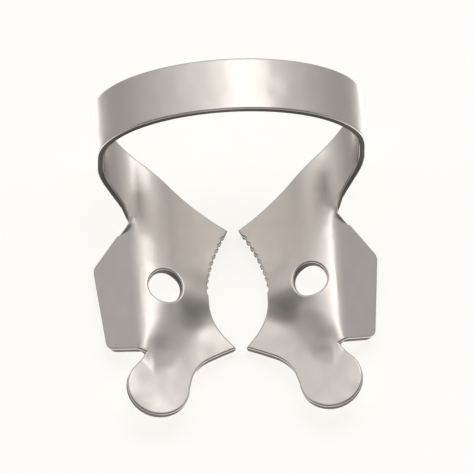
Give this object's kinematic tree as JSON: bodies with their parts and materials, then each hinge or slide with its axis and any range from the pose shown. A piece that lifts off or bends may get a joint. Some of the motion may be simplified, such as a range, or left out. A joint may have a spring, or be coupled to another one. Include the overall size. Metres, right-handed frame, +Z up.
{
  "type": "rubber dam clamp",
  "caption": "Winged dental rubber dam clamp bent from one stamped spring steel sheet: arched bow, toothed jaws, side wings and front tongues.",
  "frame": {"origin": "under the middle of the clamp's bounding box, on the surface that it rests on", "axes": "+X from the left jaw to the right jaw, +Y from the front tongues to the bow, +Z up"},
  "size_m": [0.0214, 0.0238, 0.0134],
  "materials": {
    "steel": "satin"
  },
  "bodies": {
    "root": {"clamp": "steel"}
  },
  "joints": []
}
